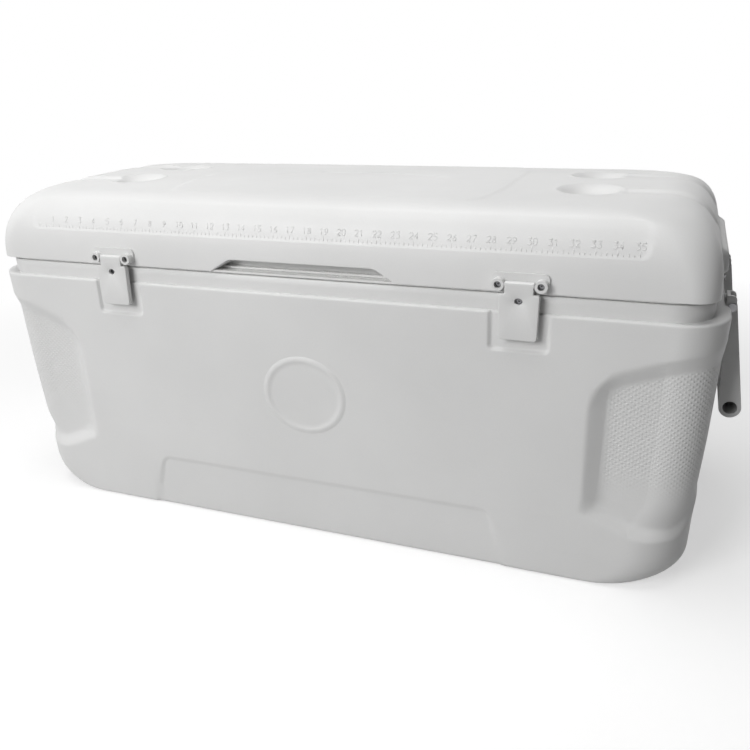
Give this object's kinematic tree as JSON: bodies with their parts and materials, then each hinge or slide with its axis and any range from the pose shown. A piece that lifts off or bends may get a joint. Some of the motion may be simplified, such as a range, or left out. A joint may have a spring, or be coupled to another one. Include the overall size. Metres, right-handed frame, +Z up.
{
  "type": "large insulated chest cooler",
  "caption": "Large white insulated chest cooler with hinged lid, front latches, swing-up end handles, cup seats and a drain.",
  "frame": {"origin": "middle of the flat face that the chest stands on", "axes": "+X along the length to the right seen from the front, -Y out of the front where the latches are, +Z up"},
  "size_m": [1.17, 0.4866, 0.5199],
  "materials": {
    "body_plastic": "satin moulded plastic, fine grain",
    "lid_plastic": "satin moulded plastic, fine grain",
    "liner_plastic": "smooth white food-safe plastic",
    "latch_plastic": "satin moulded plastic",
    "hinge_plastic": "satin moulded plastic",
    "handle_plastic": "satin moulded plastic, a little greyer than the body",
    "drain_plastic": "satin moulded plastic",
    "foam": "rigid foam, hidden",
    "steel": "stainless steel",
    "rubber": "black rubber"
  },
  "bodies": {
    "tub": {"body_shell": "body_plastic", "body_liner": "liner_plastic", "body_foam": "foam", "hinge_screws_body": "steel", "catch_screws": "steel", "drain_spout": "drain_plastic", "drain_nut": "drain_plastic", "drain_gasket": "rubber", "hinge_body_leaf_left": "hinge_plastic", "hinge_body_leaf_middle": "hinge_plastic", "hinge_body_leaf_right": "hinge_plastic", "hinge_pin_left": "steel", "hinge_pin_middle": "steel", "hinge_pin_right": "steel", "latch_catch_left": "latch_plastic", "latch_catch_right": "latch_plastic", "handle_bracket_left_front": "handle_plastic", "handle_bracket_left_back": "handle_plastic", "handle_bracket_right_front": "handle_plastic", "handle_bracket_right_back": "handle_plastic", "handle_pins_left": "steel", "handle_pins_right": "steel", "handle_bracket_screws_left": "steel", "handle_bracket_screws_right": "steel"},
    "lid": {"lid_shell": "lid_plastic", "lid_liner": "liner_plastic", "lid_foam": "foam", "hinge_screws_lid": "steel", "latch_screws": "steel", "hinge_lid_leaf_left": "hinge_plastic", "hinge_lid_leaf_middle": "hinge_plastic", "hinge_lid_leaf_right": "hinge_plastic", "latch_bracket_left": "latch_plastic", "latch_bracket_right": "latch_plastic", "latch_pin_left": "steel", "latch_pin_right": "steel"},
    "latch_flap_left": {"latch_flap_left": "latch_plastic"},
    "handle_left": {"handle_left": "handle_plastic"},
    "latch_flap_right": {"latch_flap_right": "latch_plastic"},
    "handle_right": {"handle_right": "handle_plastic"},
    "drain_cap": {"drain_cap": "drain_plastic"}
  },
  "joints": [
    {"name": "lid_hinge", "type": "hinge", "parent": "tub", "child": "lid", "pos_m": [0, 0.236, 0.414], "axis": [-1, 0, 0], "range_deg": [0, 100]},
    {"name": "latch_left_swing", "type": "hinge", "parent": "lid", "child": "latch_flap_left", "pos_m": [-0.307, -0.2365, 0.424], "axis": [-1, 0, 0], "range_deg": [0, 165]},
    {"name": "latch_right_swing", "type": "hinge", "parent": "lid", "child": "latch_flap_right", "pos_m": [0.307, -0.2365, 0.424], "axis": [-1, 0, 0], "range_deg": [0, 165]},
    {"name": "handle_left_swing", "type": "hinge", "parent": "tub", "child": "handle_left", "pos_m": [-0.5565, 0, 0.383], "axis": [0, 1, 0], "range_deg": [0, 110]},
    {"name": "handle_right_swing", "type": "hinge", "parent": "tub", "child": "handle_right", "pos_m": [0.5565, 0, 0.383], "axis": [0, -1, 0], "range_deg": [0, 110]},
    {"name": "drain_cap_turn", "type": "hinge", "parent": "tub", "child": "drain_cap", "pos_m": [-0.25, 0.24, 0.0795], "axis": [0, 1, 0], "range_deg": [0, 360]}
  ]
}
